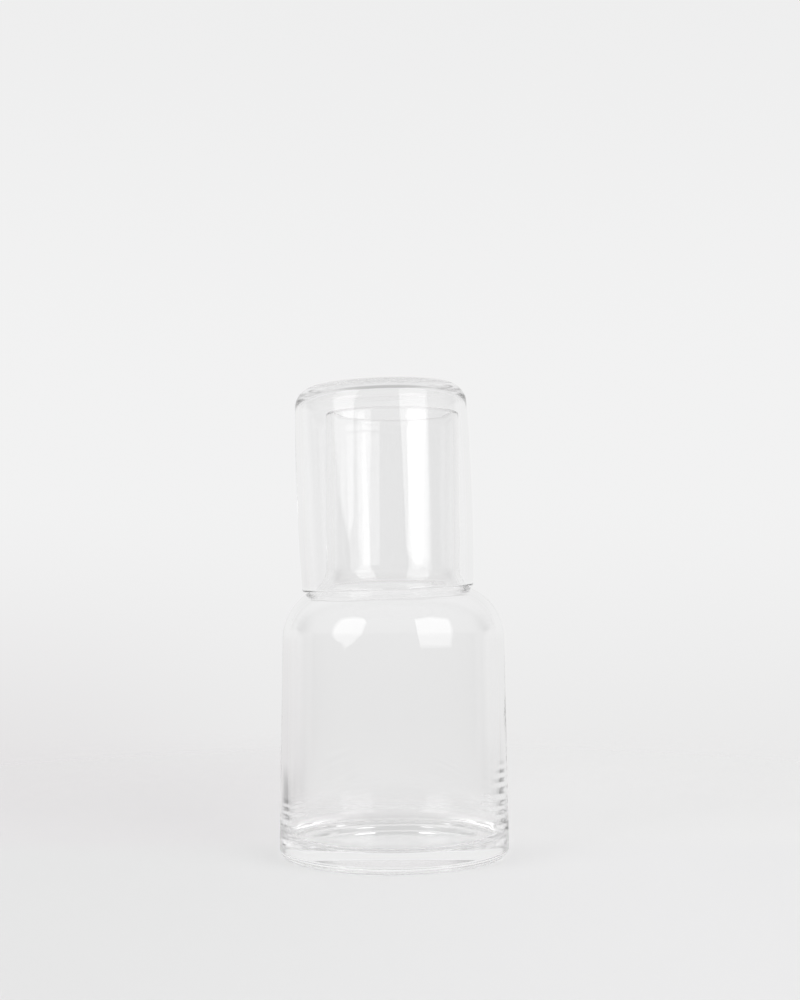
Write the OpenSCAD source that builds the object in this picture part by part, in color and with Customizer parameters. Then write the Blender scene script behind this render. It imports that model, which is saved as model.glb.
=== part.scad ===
// Bedside carafe with its tumbler turned over the neck, both in clear blown glass.
// The carafe stands on Z = 0 with its axis on Z. The tumbler's rim rests on the carafe's
// round shoulder, and the tumbler leans a little towards -X, until it is close to the neck's lip.
// Every length is in millimetres.

/* [Carafe body] */
// Outside diameter at the foot
foot_d = 95; // [86:0.5:106]
// Outside diameter where the side meets the shoulder
body_d = 92.4; // [84:0.2:102]
// Height at which the side ends and the shoulder begins
side_h = 89; // [74:0.5:110]
// Radius of the shoulder's outside curve
shoulder_r = 23.2; // [19:0.2:26]
// Radius of the outside corner under the foot
foot_corner_r = 3.7; // [2:0.1:6]

/* [Carafe glass] */
// Thickness of the glass at the shoulder
shoulder_wall = 2.6; // [2:0.1:4]
// Thickness of the glass just above the floor
foot_wall = 3.2; // [2:0.1:5]
// Thickness of the base, from the floor down to the table
base_t = 8; // [4:0.5:12]
// Radius of the corner between the floor and the side, inside
floor_corner_r = 4.4; // [2:0.1:8]
// Width of the flat ring that the carafe stands on
foot_ring_w = 9; // [4:0.5:16]
// How far the middle of the underside is hollowed
foot_hollow = 1; // [0.4:0.1:2]

/* [Neck] */
// Thickness of the glass in the neck
neck_wall = 2.4; // [1.8:0.1:3.4]
// Radius of the hollow curve between the shoulder and the neck, outside
neck_root_r = 10; // [7:0.5:12]
// Room all round between the neck and the tumbler's mouth, with the tumbler upright
neck_room = 5.6; // [4.6:0.1:7]
// Room between the neck's lip and the tumbler's floor
lip_room = 7.6; // [4:0.1:12]

/* [Tumbler] */
// Outside diameter at the mouth
mouth_d = 71.4; // [66:0.2:78]
// How far the side bulges beyond the mouth
bulge = 0.95; // [0.4:0.05:1.6]
// Distance from the mouth to the widest place
bulge_h = 43; // [36:0.5:48]
// Height of the tumbler
tumbler_h = 85.6; // [76:0.2:96]
// Thickness of the side
tumbler_wall = 2.2; // [1.6:0.1:3]
// Thickness of the tumbler's base
tumbler_base_t = 4; // [2.6:0.2:8]
// Radius of the outside corner round the base
tumbler_corner_r = 8.4; // [4:0.2:10]
// Radius of the corner between the tumbler's floor and its side, inside
tumbler_floor_r = 5; // [3:0.2:7]
// Width of the flat ring that the tumbler stands on when it is the right way up
tumbler_ring_w = 6; // [3:0.5:12]
// How far the middle of the tumbler's underside is hollowed
tumbler_hollow = 0.8; // [0.3:0.1:1.6]

/* [Seat] */
// Gap between the tumbler's rim and the shoulder that carries it
seat_gap = 0.25; // [0.2:0.05:0.4]
// Gap left between the neck's lip and the side of the leaning tumbler
lip_gap = 1.3; // [0.4:0.1:2]

/* [Hidden] */

$fn = 96;
// Steps in a corner's arc, and in a long shallow curve
corner_steps = 12;
curve_steps = 24;
// Points closer than this are one point
same_place = 0.0001;

foot_rad = foot_d / 2;
body_rad = body_d / 2;
mouth_rad = mouth_d / 2;
// The rims are fully rounded, so each is a half circle as wide as its wall
rim_r = tumbler_wall / 2;
lip_r = neck_wall / 2;
// The neck fits inside the tumbler's mouth
neck_rad = mouth_rad - tumbler_wall - neck_room;
bore_rad = neck_rad - neck_wall;

// Points along an arc, from one angle to another
function arc(centre, radius, from, to, steps) =
    [for (i = [0:steps]) centre + radius * turn(from + (to - from) * i / steps)];

function turn(angle) = [cos(angle), sin(angle)];

// Direction square to the line that touches two circles on their far side from the axis
function side_angle(centre_a, radius_a, centre_b, radius_b) =
    let (step = centre_b - centre_a)
    atan2(step.y, step.x) - acos((radius_a - radius_b) / norm(step));

// Centre of a circle that fills the inner corner between the shoulder's arc and a neck
function root_centre(shoulder, arc_r, neck, root_r) =
    let (across = neck + root_r - shoulder.x)
    [neck + root_r, shoulder.y + sqrt(pow(arc_r + root_r, 2) - pow(across, 2))];

// Angle of the point where the shoulder's arc meets the root's arc
function root_angle(shoulder, root) = atan2(root.y - shoulder.y, root.x - shoulder.x);

// An underside that is hollowed like a shallow dish, from its middle to the flat ring
function hollow_arc(edge_r, depth, steps) =
    let (dish_r = (pow(edge_r, 2) + pow(depth, 2)) / (2 * depth))
    arc([0, depth - dish_r], dish_r, 90, acos(edge_r / dish_r), steps);

// The same points in the other order, upside down under a given height
function turned_over(points, top) =
    [for (i = [len(points) - 1:-1:0]) [points[i].x, top - points[i].y]];

// An outline without the points that only repeat the one before, where two arcs join
function each_once(points) =
    [for (i = [0:len(points) - 1])
        if (norm(points[i] - points[(i + len(points) - 1) % len(points)]) > same_place) points[i]];

// Carafe: the circles that its outside and inside are made of
shoulder_c = [body_rad - shoulder_r, side_h];
foot_c = [foot_rad - foot_corner_r, foot_corner_r];
root_c = root_centre(shoulder_c, shoulder_r, neck_rad, neck_root_r);
root_a = root_angle(shoulder_c, root_c);
side_a = side_angle(foot_c, foot_corner_r, shoulder_c, shoulder_r);

in_shoulder_r = shoulder_r - shoulder_wall;
in_root_r = neck_root_r + neck_wall;
floor_c = [foot_rad - foot_wall - floor_corner_r, base_t + floor_corner_r];
in_root_c = root_centre(shoulder_c, in_shoulder_r, bore_rad, in_root_r);
in_root_a = root_angle(shoulder_c, in_root_c);
in_side_a = side_angle(floor_c, floor_corner_r, shoulder_c, in_shoulder_r);

// Tumbler, mouth down with its rim on zero: the side is one long arc through the bulge
barrel_r = (pow(bulge, 2) + pow(bulge_h, 2)) / (2 * bulge);
barrel_c = [mouth_rad + bulge - barrel_r, bulge_h];
in_barrel_r = barrel_r - tumbler_wall;
rim_a = asin((rim_r - bulge_h) / (barrel_r - rim_r));
rim_c = barrel_c + (barrel_r - rim_r) * turn(rim_a);
floor_h = tumbler_h - tumbler_base_t;

// Centre of a corner of the given radius inside an arc of the barrel, under a given height
function barrel_corner(arc_r, corner_r, top) =
    let (rise = top - corner_r - barrel_c.y)
    [barrel_c.x + sqrt(pow(arc_r - corner_r, 2) - pow(rise, 2)), top - corner_r];

crown_c = barrel_corner(barrel_r, tumbler_corner_r, tumbler_h);
crown_a = atan2(crown_c.y - barrel_c.y, crown_c.x - barrel_c.x);
nook_c = barrel_corner(in_barrel_r, tumbler_floor_r, floor_h);
nook_a = atan2(nook_c.y - barrel_c.y, nook_c.x - barrel_c.x);

// Radius of the tumbler's inside at a height above its rim
function inside_rad(h) = h <= nook_c.y
    ? barrel_c.x + sqrt(pow(in_barrel_r, 2) - pow(h - barrel_c.y, 2))
    : nook_c.x + sqrt(pow(tumbler_floor_r, 2) - pow(min(h, floor_h) - nook_c.y, 2));

// Seat: the rim's half circle rolls on the shoulder, a gap away from it. Where the centre of
// the half circle is close to the neck, the hollow root carries it instead of the shoulder.
seat_off = rim_r + seat_gap;
root_turn = 90 - root_a;
seat_split = shoulder_c.x + (shoulder_r + seat_off) * sin(root_turn);

function seat_height(r) = r >= seat_split
    ? shoulder_c.y + sqrt(pow(shoulder_r + seat_off, 2) - pow(r - shoulder_c.x, 2))
    : root_c.y - sqrt(pow(neck_root_r - seat_off, 2) - pow(root_c.x - r, 2));

function seat_slope(r) = r >= seat_split
    ? asin((r - shoulder_c.x) / (shoulder_r + seat_off))
    : asin((root_c.x - r) / (neck_root_r - seat_off));

// Upright, the rim would stand here, and the neck's height follows the tumbler's depth
upright_z = seat_height(rim_c.x) - rim_c.y;
lip_top = upright_z + floor_h - lip_room;

// The tumbler tips about the point where the seat's normals cross the axis
pivot_z = seat_height(rim_c.x) - rim_c.x / tan(seat_slope(rim_c.x));
lean = asin((inside_rad(lip_top - upright_z) - neck_rad - lip_gap) / (lip_top - pivot_z));

// Places of the rim's centre line after the tip: on the low side, the high side and halfway
rim_rise = seat_height(rim_c.x) - pivot_z;
low_rim = [rim_c.x * cos(lean) + rim_rise * sin(lean), rim_rise * cos(lean) - rim_c.x * sin(lean)];
high_rim = [rim_c.x * cos(lean) - rim_rise * sin(lean), rim_rise * cos(lean) + rim_c.x * sin(lean)];
mid_rim = [norm([rim_c.x, rim_rise * sin(lean)]), rim_rise * cos(lean)];
// A tipped rim comes closer to the shoulder at one of these places, so it is lifted clear there
lift = max([for (p = [low_rim, high_rim, mid_rim]) seat_height(p.x) - pivot_z - p.y]);

carafe_outline = each_once(concat(
    hollow_arc(foot_c.x - foot_ring_w, foot_hollow, corner_steps),
    arc(foot_c, foot_corner_r, -90, side_a, corner_steps),
    arc(shoulder_c, shoulder_r, side_a, root_a, curve_steps),
    arc(root_c, neck_root_r, root_a - 180, -180, corner_steps),
    arc([neck_rad - lip_r, lip_top - lip_r], lip_r, 0, 180, corner_steps),
    arc(in_root_c, in_root_r, -180, in_root_a - 180, corner_steps),
    arc(shoulder_c, in_shoulder_r, in_root_a, in_side_a, curve_steps),
    arc(floor_c, floor_corner_r, in_side_a, -90, corner_steps),
    [[0, base_t]]));

tumbler_outline = each_once(concat(
    arc(rim_c, rim_r, rim_a - 180, rim_a, corner_steps),
    arc(barrel_c, barrel_r, rim_a, crown_a, curve_steps),
    arc(crown_c, tumbler_corner_r, crown_a, 90, corner_steps),
    turned_over(hollow_arc(crown_c.x - tumbler_ring_w, tumbler_hollow, corner_steps), tumbler_h),
    [[0, floor_h]],
    arc(nook_c, tumbler_floor_r, 90, nook_a, corner_steps),
    arc(barrel_c, in_barrel_r, nook_a, rim_a, curve_steps)));

module carafe() {
    color([0.86, 0.88, 0.88, 0.4])
        rotate_extrude()
            polygon(carafe_outline);
}

module tumbler() {
    color([0.9, 0.92, 0.92, 0.4])
        translate([0, 0, pivot_z + lift])
            rotate([0, -lean, 0])
                translate([0, 0, upright_z - pivot_z])
                    rotate_extrude()
                        polygon(tumbler_outline);
}

carafe();
tumbler();
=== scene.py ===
# %% [markdown]
# # A bedside carafe under its own tumbler
# Two clear blown vessels: a round-shouldered carafe, and a small tumbler turned upside down
# over its neck. This lesson dresses the measured model of the pair. Each vessel is drawn as
# half of its section and spun round its axis, as a glass blower turns it on the pipe.
# Glass shows little of its own, so the second half is about what it bends and mirrors.

import math

import bmesh
import bpy
from mathutils import Euler, Matrix, Vector


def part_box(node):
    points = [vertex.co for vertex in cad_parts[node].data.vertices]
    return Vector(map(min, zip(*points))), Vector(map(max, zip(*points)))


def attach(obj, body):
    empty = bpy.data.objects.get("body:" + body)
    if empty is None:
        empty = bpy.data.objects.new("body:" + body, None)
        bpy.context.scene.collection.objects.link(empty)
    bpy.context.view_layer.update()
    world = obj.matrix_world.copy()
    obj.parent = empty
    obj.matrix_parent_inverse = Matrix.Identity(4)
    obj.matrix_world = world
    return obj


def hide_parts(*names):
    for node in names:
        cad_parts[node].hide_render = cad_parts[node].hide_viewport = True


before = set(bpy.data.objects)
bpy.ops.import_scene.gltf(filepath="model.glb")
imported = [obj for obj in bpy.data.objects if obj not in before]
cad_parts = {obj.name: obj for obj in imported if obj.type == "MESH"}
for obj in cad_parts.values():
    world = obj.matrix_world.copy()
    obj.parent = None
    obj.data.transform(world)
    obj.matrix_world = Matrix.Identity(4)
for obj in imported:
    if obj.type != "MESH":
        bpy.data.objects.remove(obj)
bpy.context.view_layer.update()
MM = 0.001
_, carafe_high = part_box("carafe")
tumbler_low, tumbler_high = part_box("tumbler")
print("carafe stands", round(carafe_high.z / MM, 1), "mm high")
print("tumbler reaches", round(tumbler_high.z / MM, 1), "mm")

# %% [markdown]
# ## The camera comes first
# The picture was taken with the eye a little above the middle of the pair, tipped up by
# about three degrees. The camera is set from the distance, the height and the focal length
# that make the outline agree, so nothing has to be moved by eye later.

# %% Camera
CAMERA_DISTANCE = 630.9 * MM
CAMERA_HEIGHT = 115.2 * MM
CAMERA_ASIDE = 3.07 * MM
CAMERA_PITCH = math.radians(2.887)
CAMERA_ROLL = math.radians(0.307)
FRAME_SIZE = (800, 1000)
FOCAL_PIXELS = 1503.85
NEAR_CLIP = 10 * MM

camera_data = bpy.data.cameras.new("camera")
camera = bpy.data.objects.new("camera", camera_data)
bpy.context.scene.collection.objects.link(camera)
bpy.context.scene.camera = camera
camera_data.lens = FOCAL_PIXELS * camera_data.sensor_width / max(FRAME_SIZE)
camera.location = (CAMERA_ASIDE, -CAMERA_DISTANCE, CAMERA_HEIGHT)
camera.rotation_euler = (
    Euler((math.pi / 2 + CAMERA_PITCH, 0, 0)).to_matrix() @ Matrix.Rotation(-CAMERA_ROLL, 3, "Z")
).to_euler()
camera_data.clip_start = NEAR_CLIP
print("lens", round(camera_data.lens, 2), "mm")

# %% [markdown]
# ## Drawing an outline
# A turned vessel needs only half of its section. A plane is added and merged to one vertex.
# A straight stretch extrudes the last vertex, and an arc spins it about the arc's own centre.
# A curve object would also do, but spinning gives true arcs and lets their steps be chosen.

# %% Outline helpers
ACROSS_SECTION = (0, 1, 0)
STEP_LENGTH = 1.2 * MM
LONG_STEP = 2.4 * MM
STEP_ANGLE = math.radians(7.5)
LEAST_STEPS = 3


def deselect():
    """Leaves edit mode and deselects every object."""
    if bpy.context.object and bpy.context.object.mode != "OBJECT":
        bpy.ops.object.mode_set(mode="OBJECT")
    bpy.ops.object.select_all(action="DESELECT")


def pen_down(name, point):
    """Starts an outline in the XZ plane: a small plane, merged to one vertex at the point."""
    deselect()
    bpy.ops.mesh.primitive_plane_add(size=MM, location=(point[0], 0, point[1]))
    piece = bpy.context.object
    piece.name = piece.data.name = name
    bpy.ops.object.transform_apply(location=True, rotation=True, scale=True)
    bpy.ops.object.mode_set(mode="EDIT")
    bpy.ops.mesh.select_all(action="SELECT")
    bpy.ops.mesh.merge(type="CENTER")
    return piece


def pen_place(piece):
    """Where the outline's last vertex is: it is the only one that is selected."""
    mesh = bmesh.from_edit_mesh(piece.data)
    (last,) = [v for v in mesh.verts if v.select]
    return Vector((last.co.x, last.co.z))


def extrude_to(piece, point):
    """Draws one straight edge to a point."""
    step = Vector(point) - pen_place(piece)
    bpy.ops.mesh.extrude_region_move(TRANSFORM_OT_translate={"value": (step.x, 0, step.y)})


def line_to(piece, point, step_length=LONG_STEP):
    """Draws a straight stretch, in steps of about the same length."""
    start = pen_place(piece)
    whole = Vector(point) - start
    steps = max(1, round(whole.length / step_length))
    for step in range(1, steps + 1):
        extrude_to(piece, start + whole * step / steps)


def arc_by(piece, centre, turn):
    """Draws an arc about a centre. A positive turn is anticlockwise, with X right and Z up."""
    radius = (pen_place(piece) - Vector(centre)).length
    steps = max(LEAST_STEPS, math.ceil(abs(turn) / STEP_ANGLE),
                math.ceil(abs(turn) * radius / STEP_LENGTH))
    bpy.ops.mesh.spin(steps=steps, angle=turn, center=(centre[0], 0, centre[1]),
                      axis=ACROSS_SECTION, use_auto_merge=False)


def turned(angle):
    """The direction at an angle in the section, with X right and Z up."""
    return Vector((math.cos(angle), math.sin(angle)))


# %% [markdown]
# ## What the two sections are made of
# Both vessels are chains of arcs and short straights that run into each other without a
# corner, as soft glass does. So a section is given by the centres and radii of its circles,
# and the places where they meet follow from those.

# %% Circles that touch
def touch_line(centre_a, radius_a, centre_b, radius_b):
    """Angle square to the line that touches two circles on their far side from the axis."""
    step = centre_b - centre_a
    return math.atan2(step.y, step.x) - math.acos((radius_a - radius_b) / step.length)


def root_circle(shoulder, arc_r, neck, root_r):
    """Centre of the circle that fills the corner between the shoulder's arc and the neck."""
    across = neck + root_r - shoulder.x
    return Vector((neck + root_r, shoulder.y + math.sqrt((arc_r + root_r) ** 2 - across ** 2)))


def dish_drop(edge_r, depth):
    """Height of the centre and half angle of a shallow dish with that edge radius and depth."""
    dish_r = (edge_r ** 2 + depth ** 2) / (2 * depth)
    return depth - dish_r, math.asin(edge_r / dish_r)


def towards(a, b):
    """Angle of the direction from one point to another."""
    step = b - a
    return math.atan2(step.y, step.x)


# %% Sizes of the carafe
FOOT_R = 47.5 * MM
BODY_R = 46.2 * MM
SIDE_H = 89 * MM
SHOULDER_R = 23.2 * MM
FOOT_CORNER_R = 3.7 * MM
SHOULDER_WALL = 2.6 * MM
FOOT_WALL = 3.2 * MM
BASE_T = 8 * MM
FLOOR_CORNER_R = 4.4 * MM
FOOT_RING_W = 9 * MM
FOOT_HOLLOW = 1 * MM
NECK_R = 27.9 * MM
NECK_WALL = 2.4 * MM
NECK_ROOT_R = 10 * MM
LIP_TOP = carafe_high.z

shoulder_c = Vector((BODY_R - SHOULDER_R, SIDE_H))
foot_c = Vector((FOOT_R - FOOT_CORNER_R, FOOT_CORNER_R))
root_c = root_circle(shoulder_c, SHOULDER_R, NECK_R, NECK_ROOT_R)
bore_r = NECK_R - NECK_WALL
in_shoulder_r = SHOULDER_R - SHOULDER_WALL
in_root_r = NECK_ROOT_R + NECK_WALL
in_root_c = root_circle(shoulder_c, in_shoulder_r, bore_r, in_root_r)
floor_c = Vector((FOOT_R - FOOT_WALL - FLOOR_CORNER_R, BASE_T + FLOOR_CORNER_R))
print("the neck's bore is", round(2 * bore_r / MM, 1), "mm across")

# %% Sizes of the tumbler
MOUTH_R = 35.7 * MM
BULGE = 0.95 * MM
BULGE_H = 43 * MM
TUMBLER_H = 85.6 * MM
TUMBLER_WALL = 2.2 * MM
TUMBLER_BASE_T = 4 * MM
CROWN_R = 8.4 * MM
NOOK_R = 5 * MM
TUMBLER_RING_W = 6 * MM
TUMBLER_HOLLOW = 0.8 * MM

barrel_r = (BULGE ** 2 + BULGE_H ** 2) / (2 * BULGE)
barrel_c = Vector((MOUTH_R + BULGE - barrel_r, BULGE_H))
in_barrel_r = barrel_r - TUMBLER_WALL
rim_r = TUMBLER_WALL / 2
rim_a = math.asin((rim_r - BULGE_H) / (barrel_r - rim_r))
rim_c = barrel_c + (barrel_r - rim_r) * turned(rim_a)
tumbler_floor = TUMBLER_H - TUMBLER_BASE_T


def barrel_corner(arc_r, corner_r, top):
    """Centre of a corner inside an arc of the barrel, under a given height."""
    rise = top - corner_r - barrel_c.y
    return Vector((barrel_c.x + math.sqrt((arc_r - corner_r) ** 2 - rise ** 2), top - corner_r))


crown_c = barrel_corner(barrel_r, CROWN_R, TUMBLER_H)
nook_c = barrel_corner(in_barrel_r, NOOK_R, tumbler_floor)
crown_a = towards(barrel_c, crown_c)
nook_a = towards(barrel_c, nook_c)
print("the tumbler is", round(2 * (MOUTH_R + BULGE) / MM, 1), "mm across at its widest")

# %% [markdown]
# ## From section to vessel
# The finished outline is spun a full turn about the vertical axis. The first and last copies
# and the points on the axis lie on each other, so they are merged, and then the normals are
# worked out again so that all of them point out of the glass.

# %% Turning a section
TURN_STEPS = 240
SAME_PLACE = 0.002 * MM


def spin_whole(piece):
    """Turns the drawn outline round the Z axis and closes it."""
    bpy.ops.mesh.select_all(action="SELECT")
    bpy.ops.mesh.spin(steps=TURN_STEPS, angle=math.tau, center=(0, 0, 0), axis=(0, 0, 1),
                      use_auto_merge=False)
    bpy.ops.mesh.select_all(action="SELECT")
    bpy.ops.mesh.remove_doubles(threshold=SAME_PLACE)
    bpy.ops.mesh.normals_make_consistent(inside=False)
    bpy.ops.object.mode_set(mode="OBJECT")
    bpy.ops.object.shade_smooth()
    print(piece.name, "has", len(piece.data.polygons), "faces")


# %% Carafe
RIPPLE_TOP = 43 * MM
RIPPLE_STEP = 0.7 * MM


def make_carafe():
    """Drawn from the middle of its underside, up the outside and down the inside."""
    hollow_z, hollow_turn = dish_drop(foot_c.x - FOOT_RING_W, FOOT_HOLLOW)
    side_a = touch_line(foot_c, FOOT_CORNER_R, shoulder_c, SHOULDER_R)
    in_side_a = touch_line(floor_c, FLOOR_CORNER_R, shoulder_c, in_shoulder_r)
    root_a = towards(shoulder_c, root_c)
    in_root_a = towards(shoulder_c, in_root_c)
    lip_r = NECK_WALL / 2

    piece = pen_down("carafe_glass", (0, FOOT_HOLLOW))
    arc_by(piece, (0, hollow_z), -hollow_turn)
    line_to(piece, (foot_c.x, 0))
    arc_by(piece, foot_c, side_a + math.pi / 2)
    line_to(piece, shoulder_c + SHOULDER_R * turned(side_a))
    arc_by(piece, shoulder_c, root_a - side_a)
    arc_by(piece, root_c, -root_a)
    line_to(piece, (NECK_R, LIP_TOP - lip_r))
    arc_by(piece, (NECK_R - lip_r, LIP_TOP - lip_r), math.pi)
    line_to(piece, (bore_r, in_root_c.y))
    arc_by(piece, in_root_c, in_root_a)
    arc_by(piece, shoulder_c, in_side_a - in_root_a)
    corner = floor_c + FLOOR_CORNER_R * turned(in_side_a)
    start = pen_place(piece)
    line_to(piece, corner.lerp(start, (RIPPLE_TOP - corner.y) / (start.y - corner.y)))
    line_to(piece, corner, RIPPLE_STEP)
    arc_by(piece, floor_c, -math.pi / 2 - in_side_a)
    line_to(piece, (0, BASE_T))
    spin_whole(piece)
    return piece


carafe = make_carafe()

# %% [markdown]
# ## Glass that was never quite true
# The outside took its shape from a wet mould, but the inside was free, so it keeps a faint
# swell. Low in the carafe, where the thin side chilled sooner than the heavy base, it also
# keeps close ripples that show as short dark and bright strokes at both edges. Displace
# modifiers with procedural textures make both, weighted by vertex groups, and are applied.

# %% Unevenness helpers
def smooth_share(value, low, high):
    """0 at low, 1 at high, and a smooth step between, whichever is larger."""
    share = min(max((value - low) / (high - low), 0), 1)
    return share * share * (3 - 2 * share)


def weigh(piece, name, share_at):
    """A vertex group whose weight at each vertex is given by its place."""
    group = piece.vertex_groups.new(name=name)
    for vertex in piece.data.vertices:
        share = share_at(vertex.co)
        if share > 0:
            group.add([vertex.index], share, "REPLACE")
    return group.name


def uneven(piece, texture, depth, group, guide=None):
    """Moves the skin along its normals by a texture, by at most half the depth each way."""
    displace = piece.modifiers.new("uneven", "DISPLACE")
    displace.texture = texture
    displace.strength = depth
    displace.mid_level = 0.5
    displace.vertex_group = group
    if guide:
        displace.texture_coords = "OBJECT"
        displace.texture_coords_object = guide
    bpy.context.view_layer.objects.active = piece
    bpy.ops.object.modifier_apply(modifier=displace.name)


# %% Swell and ripples inside the carafe
SWELL_SIZE = 26 * MM
SWELL_DEPTH = 0.12 * MM
SWELL_FADE = 12 * MM
SKIN_MARGIN = 1 * MM
RIPPLE_PITCH = 4.4 * MM
RIPPLE_DEPTH = 0.45 * MM
RIPPLE_FADE = 5 * MM
RIPPLE_SIDES = (0.78, 0.98)
# The ripples' top comes down by this share of its height from the right to the middle
RIPPLE_DROP = 0.2
# A guide as wide and deep as this tips the ripples a little as they go round
RIPPLE_GUIDE = (90 * MM, 140 * MM)
RIPPLE_WANDER = 9
RIPPLE_WANDER_SIZE = 1.2
# The wood texture's bands repeat after this length, until a guide stretches them
BAND_LENGTH = math.tau / 10
INSIDE_R = FOOT_R - FOOT_WALL / 2

swell = bpy.data.textures.new("swell", "CLOUDS")
swell.noise_scale = SWELL_SIZE
swell.noise_depth = 1
ripples = bpy.data.textures.new("ripples", "WOOD")
ripples.wood_type = "BANDNOISE"
ripples.turbulence = RIPPLE_WANDER
ripples.noise_scale = RIPPLE_WANDER_SIZE


def inner_side(place):
    """Weight of the swell: the carafe's inside, clear of the floor and the lip."""
    radius = math.hypot(place.x, place.y)
    from_shoulder = (Vector((radius, place.z)) - shoulder_c).length
    inside = radius < INSIDE_R and place.z > BASE_T + SKIN_MARGIN and (
        place.z < SIDE_H or from_shoulder < SHOULDER_R - SKIN_MARGIN
        or radius < bore_r + SKIN_MARGIN / 2)
    return smooth_share(place.z, BASE_T, BASE_T + SWELL_FADE) if inside else 0


def ripple_share(place):
    """Weight of the ripples: strongest just above the floor, and higher up on the right."""
    if math.hypot(place.x, place.y) > INSIDE_R:
        return 0
    top = RIPPLE_TOP * (1 - RIPPLE_DROP * (1 - place.x / FOOT_R))
    sideways = smooth_share(abs(place.x) / INSIDE_R, *RIPPLE_SIDES)
    above_floor = smooth_share(place.z, BASE_T, BASE_T + RIPPLE_FADE)
    return sideways * above_floor * smooth_share(place.z, top, BASE_T)


uneven(carafe, swell, SWELL_DEPTH, weigh(carafe, "inner_side", inner_side))
bpy.ops.object.empty_add()
guide = bpy.context.object
guide.scale = (*RIPPLE_GUIDE, RIPPLE_PITCH / BAND_LENGTH)
bpy.context.view_layer.update()
uneven(carafe, ripples, RIPPLE_DEPTH, weigh(carafe, "ripples", ripple_share), guide)
bpy.data.objects.remove(guide)
corners = (*carafe.bound_box[0], *carafe.bound_box[6])
print("carafe lies between", [round(value / MM, 2) for value in corners])

# %% [markdown]
# ## The tumbler
# The tumbler is drawn the way it is used here, mouth down, with its rim at height zero. Its
# side is one long arc, because the blown glass bulges a little between its rim and its top.

# %% Tumbler
SWELL_RIM_FADE = 8 * MM
IN_BARREL_R = MOUTH_R - TUMBLER_WALL / 2


def make_tumbler():
    """Drawn from the middle of its floor, down the inside and up the outside."""
    hollow_z, hollow_turn = dish_drop(crown_c.x - TUMBLER_RING_W, TUMBLER_HOLLOW)
    piece = pen_down("tumbler_glass", (0, tumbler_floor))
    line_to(piece, (nook_c.x, tumbler_floor))
    arc_by(piece, nook_c, nook_a - math.pi / 2)
    arc_by(piece, barrel_c, rim_a - nook_a)
    arc_by(piece, rim_c, math.pi)
    arc_by(piece, barrel_c, crown_a - rim_a)
    arc_by(piece, crown_c, math.pi / 2 - crown_a)
    line_to(piece, (crown_c.x - TUMBLER_RING_W, TUMBLER_H))
    arc_by(piece, (0, TUMBLER_H - hollow_z), -hollow_turn)
    spin_whole(piece)
    return piece


def inner_barrel(place):
    """Weight of the swell: the tumbler's inside, clear of the rim and the floor."""
    inside = math.hypot(place.x, place.y) < IN_BARREL_R and place.z < tumbler_floor
    return smooth_share(place.z, 0, SWELL_RIM_FADE) if inside else 0


tumbler = make_tumbler()
uneven(tumbler, swell, SWELL_DEPTH, weigh(tumbler, "inner_barrel", inner_barrel))

# %% [markdown]
# ## Setting the tumbler down
# The loose tumbler never sits quite true: it leans until its side is close to the neck's lip.
# The measured model says where its box is, so the lean is set and then the mesh is slid until
# the boxes agree. The move is applied to the mesh, and the object stays at the origin.

# %% Lean and seat
LEAN = math.radians(1.986)
deselect()
tumbler.select_set(True)
bpy.context.view_layer.objects.active = tumbler
tumbler.rotation_euler = (0, -LEAN, 0)
bpy.ops.object.transform_apply(location=True, rotation=True, scale=True)
now = [Vector(corner) for corner in tumbler.bound_box]
tumbler.location = (
    (tumbler_low.x + tumbler_high.x - min(p.x for p in now) - max(p.x for p in now)) / 2,
    0,
    tumbler_high.z - max(p.z for p in now))
print("tumbler set at", [round(v / MM, 3) for v in tumbler.location])
bpy.ops.object.transform_apply(location=True, rotation=True, scale=True)

# %% [markdown]
# ## Wiring materials in plain arithmetic
# A small class wraps a node's socket, so that 1 - mask adds a Math node. One function makes
# any other node, from its settings and then its inputs.

# %% Socket arithmetic
class Wire:
    """A socket of a node tree that can be used in sums."""

    def __init__(self, tree, socket):
        self.tree, self.socket = tree, socket

    def maths(self, operation, *values):
        return node(self.tree, "ShaderNodeMath", {"operation": operation},
                    dict(enumerate(values)))

    def __add__(self, other):
        return self.maths("ADD", self, other)

    def __mul__(self, other):
        return self.maths("MULTIPLY", self, other)

    def __sub__(self, other):
        return self.maths("SUBTRACT", self, other)

    def __rsub__(self, other):
        return self.maths("SUBTRACT", other, self)

    def __truediv__(self, other):
        return self.maths("DIVIDE", self, other)

    __radd__, __rmul__ = __add__, __mul__

    def root(self):
        return self.maths("SQRT", self)

    def above(self, low, high):
        """0 under low, 1 over high, and a smooth step between."""
        return node(self.tree, "ShaderNodeMapRange", {"interpolation_type": "SMOOTHSTEP"},
                    {"Value": self, "From Min": low, "From Max": high})

    def out(self, name):
        """Another output of the same node."""
        return Wire(self.tree, self.socket.node.outputs[name])


def node(tree, kind, settings=(), inputs=(), output=0):
    """Adds a node: its settings first, then the values or wires of its inputs."""
    made = tree.nodes.new(kind)
    for name, value in dict(settings).items():
        setattr(made, name, value)
    for name, value in dict(inputs).items():
        if isinstance(value, Wire):
            tree.links.new(value.socket, made.inputs[name])
        else:
            made.inputs[name].default_value = value
    return Wire(tree, made.outputs[output] if made.outputs else None)


def colour(value):
    """A grey or a colour with its alpha."""
    return (value, value, value, 1) if isinstance(value, float) else (*value, 1)


# %% [markdown]
# ## Clear glass
# Both vessels are clear soda glass: no colour, fully see-through, and a surface that is only
# as true as breath and a wet mould can make it. A thin film dulls it in patches, and an
# orange peel, far too shallow to feel, keeps its mirror images from being perfect.

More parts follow.
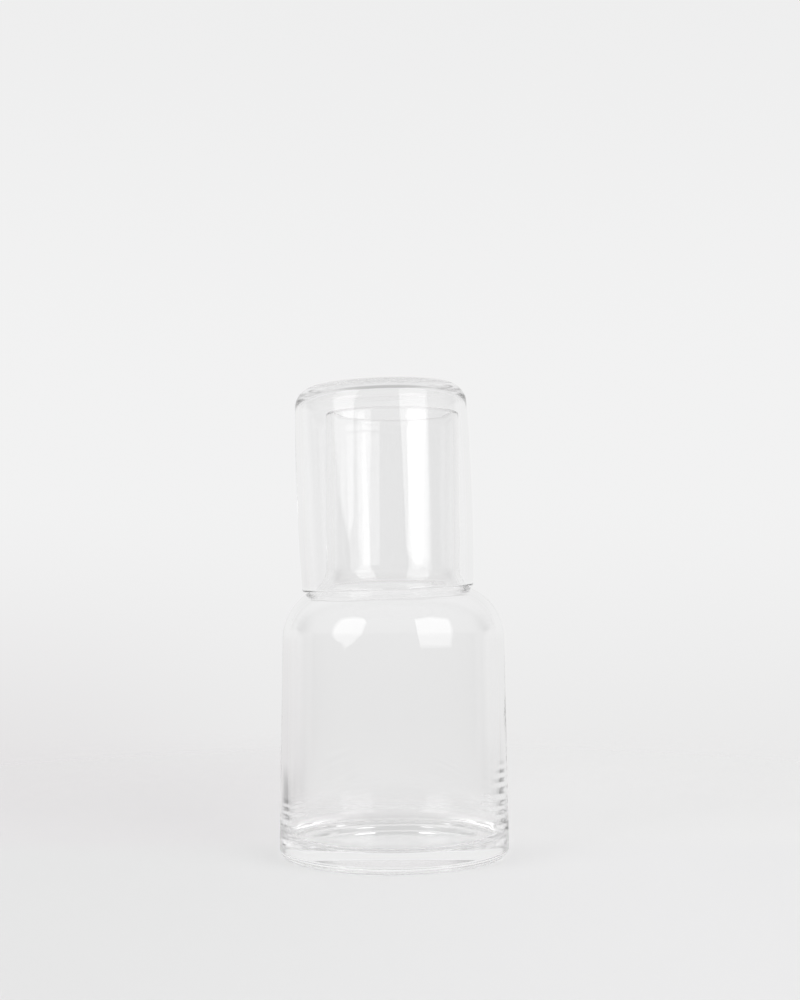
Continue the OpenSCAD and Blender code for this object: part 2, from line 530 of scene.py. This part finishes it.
# %% Glass
GLASS_IOR = 1.5
FILM = 0.016
FILM_PER_METRE = 45
FILM_DETAIL = 3.0
FILM_PATCHES = (0.56, 0.72)
ORANGE_PEEL_PER_METRE = 160
ORANGE_PEEL_DETAIL = 1.0
ORANGE_PEEL_DEPTH = 0.004 * MM


def make_glass(name):
    """Clear glass with a thin film in patches and a faint orange peel."""
    material = bpy.data.materials.new(name)
    material.use_nodes = True
    tree = material.node_tree
    shader = tree.nodes["Principled BSDF"]
    shader.inputs["Base Color"].default_value = colour(1.0)
    shader.inputs["IOR"].default_value = GLASS_IOR
    shader.inputs["Transmission Weight"].default_value = 1.0
    place = node(tree, "ShaderNodeTexCoord", output="Object")
    film = node(tree, "ShaderNodeTexNoise", inputs={
        "Vector": place, "Scale": FILM_PER_METRE, "Detail": FILM_DETAIL})
    tree.links.new((FILM * film.above(*FILM_PATCHES)).socket, shader.inputs["Roughness"])
    peel = node(tree, "ShaderNodeTexNoise", inputs={
        "Vector": place, "Scale": ORANGE_PEEL_PER_METRE, "Detail": ORANGE_PEEL_DETAIL})
    skin = node(tree, "ShaderNodeBump", inputs={
        "Height": peel, "Strength": 1.0, "Distance": ORANGE_PEEL_DEPTH})
    tree.links.new(skin.socket, shader.inputs["Normal"])
    print(name, "has", len(tree.nodes), "nodes")
    return material


carafe.data.materials.append(make_glass("carafe_glass"))
tumbler.data.materials.append(make_glass("tumbler_glass"))

# %% [markdown]
# ## Riding on the right body
# Each dressed vessel rides on its own body, so the tumbler lifts off the carafe as a whole,
# and it takes the place of the plain solid of the same size.

# %% Hand the pieces to their bodies
for piece, node_name in ((carafe, "carafe"), (tumbler, "tumbler")):
    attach(piece, node_name)
    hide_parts(node_name)

# %% [markdown]
# ## Light that depends on how it is seen
# A photographer lights the paper and the glass apart. Two masks do the same here: one for what
# the eye meets straight on or through the glass, and one for what the glass mirrors.

# %% Light helpers
def mix(tree, factor, first, second):
    """One colour or another, by a factor. Inputs 0, 6 and 7 are the factor and the colours."""
    return node(tree, "ShaderNodeMix", {"data_type": "RGBA", "clamp_factor": True},
                {0: factor, 6: first, 7: second}, output=2)


def ray_kinds(tree):
    """Two masks: what the eye meets straight on or through glass, and what glass mirrors."""
    path = node(tree, "ShaderNodeLightPath")
    mirrored = path.out("Glossy Depth").above(0, 1)
    by_eye = 1 - path.out("Diffuse Depth").above(0, 1)
    through = path.out("Is Transmission Ray")
    plain = (path.out("Is Camera Ray") + through * (1 - mirrored)) * by_eye
    glint = (path.out("Is Glossy Ray") + through * mirrored) * by_eye
    return plain, glint


# %% [markdown]
# ## Pale paper behind the pair
# The paper carries painted light and shade: it is brightest behind the pair, a little darker
# above, and darker and faintly tinted at its foot, more so on the left. A world's colour depends
# on the direction alone, and a direction has length 1, so each pair of numbers says over which
# part of it a colour turns.

# %% Paper
# Painted light and shade on the paper: lit behind the pair, shaded a little above and more at its
# foot
PAPER_TOP = (0.857, 0.857, 0.858)
PAPER_LIT = (0.886, 0.886, 0.887)
FOOT_LEFT = (0.768, 0.755, 0.760)
FOOT_RIGHT = (0.815, 0.812, 0.812)
FOOT_TURN = (-0.26, -0.06)
LIT_HEIGHT = (-0.17, 0.06)
TOP_HEIGHT = (0.12, 0.40)

world = bpy.data.worlds.new("studio")
bpy.context.scene.world = world
world.use_nodes = True
sky = world.node_tree
sky.nodes.clear()
direction = node(sky, "ShaderNodeTexCoord", output="Generated")
split = node(sky, "ShaderNodeSeparateXYZ", inputs={0: direction})
across, back, up = split.out("X"), split.out("Y"), split.out("Z")

plainly_seen, in_mirror = ray_kinds(sky)
# Painted shade at the paper's foot, darker on the left than on the right
shaded_paper_foot = mix(sky, across.above(*FOOT_TURN), colour(FOOT_LEFT), colour(FOOT_RIGHT))
lower = mix(sky, up.above(*LIT_HEIGHT), shaded_paper_foot, colour(PAPER_LIT))
paper = mix(sky, up.above(*TOP_HEIGHT), lower, colour(PAPER_TOP))

# %% [markdown]
# ## The room that the glass mirrors
# Clear glass is drawn by its surroundings. At the back it mirrors the paper, and in front the
# room, which is a middle grey. That is why the middle of the glass is a little darker than
# its sides. High up in the middle the paper gives way to the room's grey, which shows in the
# tumbler's top. Below is a pale floor that is dark at the back's left and right, and this
# draws the lines in the thick base and low at the edges. What is neither seen nor mirrored,
# such as the light on the floor, is one plain grey.

# %% Room
PLAIN_LIGHT = 0.90
ROOM_GREY = 0.50
LOW_GREY = 0.30
PAPER_SHARE = 0.92
CEILING_SHARE = 0.85
PAPER_EDGE = (0.29, 0.37)
EDGE_SHIFT = 0.17
EDGE_SHIFT_HEIGHT = (0, 0.2)
CEILING_HEIGHT = (0.45, 0.7)
CEILING_HALF_WIDTH_SQUARED = (0.01, 0.1)
BESIDE_STARTS = (0.3, 0.7)
BESIDE_ENDS = (0.88, 0.97)
BESIDE_FADES_DOWN = (0.2, 0.6)
FLOOR_STARTS_DOWN = (0.115, 0.172)

facing_back = back / (across * across + back * back).root()
behind = (facing_back - EDGE_SHIFT * up.above(*EDGE_SHIFT_HEIGHT)).above(*PAPER_EDGE)
down = 0 - up
over_middle = 1 - (across * across).above(*CEILING_HALF_WIDTH_SQUARED)
ceiling = up.above(*CEILING_HEIGHT) * over_middle
walls = mix(sky, behind * (PAPER_SHARE - CEILING_SHARE * ceiling), colour(ROOM_GREY), paper)
back_sides = facing_back.above(*BESIDE_STARTS) * (1 - facing_back.above(*BESIDE_ENDS))
beside = back_sides * (1 - down.above(*BESIDE_FADES_DOWN))
low_floor = mix(sky, beside, shaded_paper_foot, colour(LOW_GREY))
room = mix(sky, down.above(*FLOOR_STARTS_DOWN), walls, low_floor)
lit = mix(sky, in_mirror, colour(PLAIN_LIGHT), room)
shown = mix(sky, plainly_seen, lit, paper)
glow = node(sky, "ShaderNodeBackground", inputs={"Color": shown, "Strength": 1.0})
node(sky, "ShaderNodeOutputWorld", inputs={"Surface": glow})
print("the studio has", len(sky.nodes), "nodes")

# %% [markdown]
# ## Two windows
# The bright bands in the glass are two tall windows, front left and front right. Each is a
# glowing sheet in the shape of the pane that the glass mirrors, a little dimmer low down. Its
# corners are given as the pair sees them: how far round from the camera, and how high above
# the eye, in degrees.

# %% Windows
WINDOW_DISTANCE = 2.5
WINDOW_GLOW = 2.25
LOW_SKY = 0.8
LOW_SKY_HEIGHT = (0.4, 1.0)
LEFT_PANE = ((-66, 39), (-58, 44), (-40, 46), (-32, 39), (-33, 15), (-41, -0.4), (-50, -1.95),
             (-60, 1.5), (-66, 10), (-68, 28))
RIGHT_PANE = ((27.5, 45), (50, 46), (70, 37), (66, 20), (61, -1.7), (27, -1.5), (25, 14))


def pane_corner(azimuth, elevation, middle):
    """A corner on the upright sheet that faces the pair at a middle azimuth."""
    off = math.radians(azimuth - middle)
    away = WINDOW_DISTANCE / math.cos(off)
    return (WINDOW_DISTANCE * math.tan(off),
            CAMERA_HEIGHT + away * math.tan(math.radians(elevation)))


def window_light(name):
    """A glow that lights the floor and shows in mirror images, but is never seen itself."""
    material = bpy.data.materials.new(name)
    material.use_nodes = True
    tree = material.node_tree
    tree.nodes.clear()
    hidden, _ = ray_kinds(tree)
    place = node(tree, "ShaderNodeTexCoord", output="Object")
    height = node(tree, "ShaderNodeSeparateXYZ", inputs={0: place}).out("Z")
    sky_colour = mix(tree, height.above(*LOW_SKY_HEIGHT), colour(LOW_SKY), colour(1.0))
    light = node(tree, "ShaderNodeEmission", inputs={"Color": sky_colour, "Strength": WINDOW_GLOW})
    clear = node(tree, "ShaderNodeBsdfTransparent")
    both = node(tree, "ShaderNodeMixShader", inputs={0: hidden, 1: light, 2: clear})
    node(tree, "ShaderNodeOutputMaterial", inputs={"Surface": both})
    return material


def make_window(name, pane):
    """A flat sheet with those corners, turned so that it faces the pair."""
    middle = sum(azimuth for azimuth, _ in pane) / len(pane)
    corners = [pane_corner(*corner, middle) for corner in pane]
    window = pen_down(name, corners[0])
    for corner in corners[1:]:
        extrude_to(window, corner)
    bpy.ops.mesh.select_all(action="SELECT")
    bpy.ops.mesh.edge_face_add()
    bpy.ops.object.mode_set(mode="OBJECT")
    turn = math.radians(middle)
    window.rotation_euler = (0, 0, turn)
    window.location = (WINDOW_DISTANCE * math.sin(turn), -WINDOW_DISTANCE * math.cos(turn), 0)
    window.data.materials.append(window_light(name))
    print(name, "stands", round(middle, 1), "degrees round from the camera")


make_window("window_left", LEFT_PANE)
make_window("window_right", RIGHT_PANE)

# %% [markdown]
# ## The floor
# A pale floor that is matt, with painted shade in its colour, and that fades into the paper
# behind well away from the pair. In the glass it fades sooner, because the world already says
# what is mirrored from low down.

# %% Floor
# Painted shade on the floor: darker on the left than on the right, and on the right darker in
# front of the pair than behind it, as a painted shadow beside the foot
NEAR_LEFT = (0.762, 0.762, 0.762)
NEAR_RIGHT = (0.798, 0.796, 0.800)
FAR_LEFT = (0.765, 0.755, 0.760)
FAR_RIGHT = (0.812, 0.810, 0.810)
SHADE_TURN_WIDTH = 120 * MM
SHADE_STEP_Y = (-5 * MM, 45 * MM)
FLOOR_R = 900 * MM
FLOOR_SIDES = 96
UNDER_FOOT = 0.05 * MM
FADE = (160 * MM, 520 * MM)
# In a mirror image, a distance counts this many times more than it does to the eye
MIRROR_FADE = 2.0


def floor_paper():
    """Matt paper with painted shade on the left and front right; it turns clear well away from the
    pair.
    """
    material = bpy.data.materials.new("floor_paper")
    material.use_nodes = True
    tree = material.node_tree
    shader = tree.nodes["Principled BSDF"]
    shader.inputs["Roughness"].default_value = 1.0
    shader.inputs["Specular IOR Level"].default_value = 0.0
    place = node(tree, "ShaderNodeTexCoord", output="Object")
    split = node(tree, "ShaderNodeSeparateXYZ", inputs={0: place})
    rightward = split.out("X").above(-SHADE_TURN_WIDTH, SHADE_TURN_WIDTH)
    near = mix(tree, rightward, colour(NEAR_LEFT), colour(NEAR_RIGHT))
    beyond = mix(tree, rightward, colour(FAR_LEFT), colour(FAR_RIGHT))
    # Painted shade: the floor's colour changes from in front of the pair to behind it
    painted_floor_shade = mix(tree, split.out("Y").above(*SHADE_STEP_Y), near, beyond)
    tree.links.new(painted_floor_shade.socket, shader.inputs["Base Color"])
    far = node(tree, "ShaderNodeVectorMath", {"operation": "LENGTH"}, {0: place}, output="Value")
    clear = node(tree, "ShaderNodeBsdfTransparent")
    _, mirrored = ray_kinds(tree)
    faded = (far * (1 + MIRROR_FADE * mirrored)).above(*FADE)
    both = node(tree, "ShaderNodeMixShader",
                inputs={0: faded, 1: Wire(tree, shader.outputs[0]), 2: clear})
    tree.links.new(both.socket, tree.nodes["Material Output"].inputs["Surface"])
    return material


deselect()
bpy.ops.mesh.primitive_circle_add(vertices=FLOOR_SIDES, radius=FLOOR_R, fill_type="NGON",
                                  location=(0, 0, -UNDER_FOOT))
floor = bpy.context.object
floor.name = "floor"
floor.data.materials.append(floor_paper())
print("floor is", round(2 * FLOOR_R, 2), "m across")

# %% [markdown]
# ## Letting light run inside the glass
# In a thick base a ray is thrown to and fro many times before it comes out. With too few
# bounces allowed it is given up as black, so the limits are raised for this object.

# %% Colours as they are written, and bounces enough
GLASS_BOUNCES = 120
bpy.context.scene.view_settings.view_transform = "Standard"
bounces = bpy.context.scene.cycles
bounces.max_bounces = bounces.glossy_bounces = bounces.transmission_bounces = GLASS_BOUNCES
bounces.blur_glossy = 0
print("a ray may turn", bounces.max_bounces, "times")
